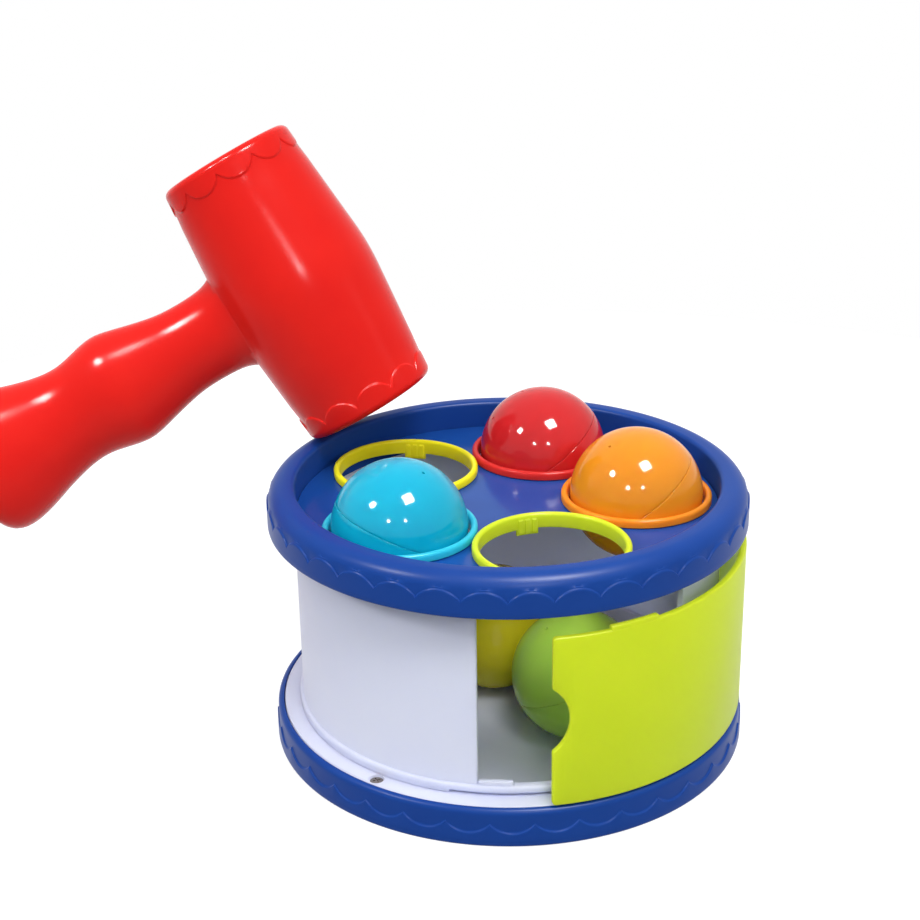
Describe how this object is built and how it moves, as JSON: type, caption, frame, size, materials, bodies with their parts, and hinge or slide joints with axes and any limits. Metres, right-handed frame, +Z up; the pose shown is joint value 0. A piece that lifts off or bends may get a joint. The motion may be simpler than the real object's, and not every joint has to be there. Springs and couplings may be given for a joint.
{
  "type": "ball pounding drum",
  "caption": "Round toy drum with sprung collars in its deck that hold balls, a mallet that drives them through, and a curved sliding door in the wall that lets them out.",
  "frame": {"origin": "on the table under the axis of the drum, at the middle of the base", "axes": "+Z up along the axis of the drum, -Y towards the front, +X to the right as seen from the front"},
  "size_m": [0.3141, 0.181, 0.2245],
  "materials": {
    "satin_blue": "satin moulded",
    "gloss_violet_blue": "gloss moulded",
    "satin_white": "satin moulded",
    "lime_door": "satin moulded",
    "red_mallet": "gloss blow moulded",
    "steel": "plain",
    "gloss_lime": "gloss moulded",
    "gloss_orange": "gloss moulded",
    "gloss_red": "gloss moulded",
    "gloss_yellow": "gloss moulded",
    "gloss_cyan": "gloss moulded"
  },
  "bodies": {
    "drum": {"base_dish": "satin_blue", "base_tray": "satin_white", "drum_wall": "satin_white", "top_rim": "satin_blue", "drum_deck": "gloss_violet_blue", "ledge_screw_1": "steel", "ledge_screw_2": "steel", "ledge_screw_3": "steel", "ledge_screw_4": "steel", "collar_lime": "gloss_lime", "collar_orange": "gloss_orange", "collar_red": "gloss_red", "collar_yellow": "gloss_yellow", "collar_cyan": "gloss_cyan"},
    "door": {"sliding_door": "lime_door"},
    "lime_ball": {"ball_lime_cap": "gloss_lime", "ball_lime_cup": "gloss_lime"},
    "orange_ball": {"ball_orange_cap": "gloss_orange", "ball_orange_cup": "gloss_orange"},
    "red_ball": {"ball_red_cap": "gloss_red", "ball_red_cup": "gloss_red"},
    "yellow_ball": {"ball_yellow_cap": "gloss_yellow", "ball_yellow_cup": "gloss_yellow"},
    "cyan_ball": {"ball_cyan_cap": "gloss_cyan", "ball_cyan_cup": "gloss_cyan"},
    "mallet": {"mallet": "red_mallet"}
  },
  "joints": [
    {"name": "door_slide_round", "type": "hinge", "parent": "drum", "child": "door", "pos_m": [0, 0, 0.05], "axis": [0, 0, 1], "range_deg": [-28.4, 40.6]},
    {"name": "orange_ball_drop", "type": "slide", "parent": "drum", "child": "orange_ball", "axis": [0, 0, -1], "range_m": [0, 0.0666]},
    {"name": "red_ball_drop", "type": "slide", "parent": "drum", "child": "red_ball", "axis": [0, 0, -1], "range_m": [0, 0.0666]},
    {"name": "cyan_ball_drop", "type": "slide", "parent": "drum", "child": "cyan_ball", "axis": [0, 0, -1], "range_m": [0, 0.0666]},
    {"name": "lime_ball_roll", "type": "slide", "parent": "drum", "child": "lime_ball", "axis": [-0.3558, -0.9345, 0], "range_m": [0, 0.0298]},
    {"name": "yellow_ball_roll", "type": "slide", "parent": "drum", "child": "yellow_ball", "axis": [-0.9786, 0.2056, 0], "range_m": [0, 0.0352]},
    {"name": "mallet_swing", "type": "hinge", "parent": "drum", "child": "mallet", "pos_m": [-0.20626, 0.03938, 0.09331], "axis": [0, -0.9848, 0.1736], "range_deg": [0, 50]}
  ],
  "couplings": [
    {"joint": "lime_ball_roll", "follows": "orange_ball_drop", "ratio": 0.4474},
    {"joint": "yellow_ball_roll", "follows": "red_ball_drop", "ratio": 0.5285}
  ]
}
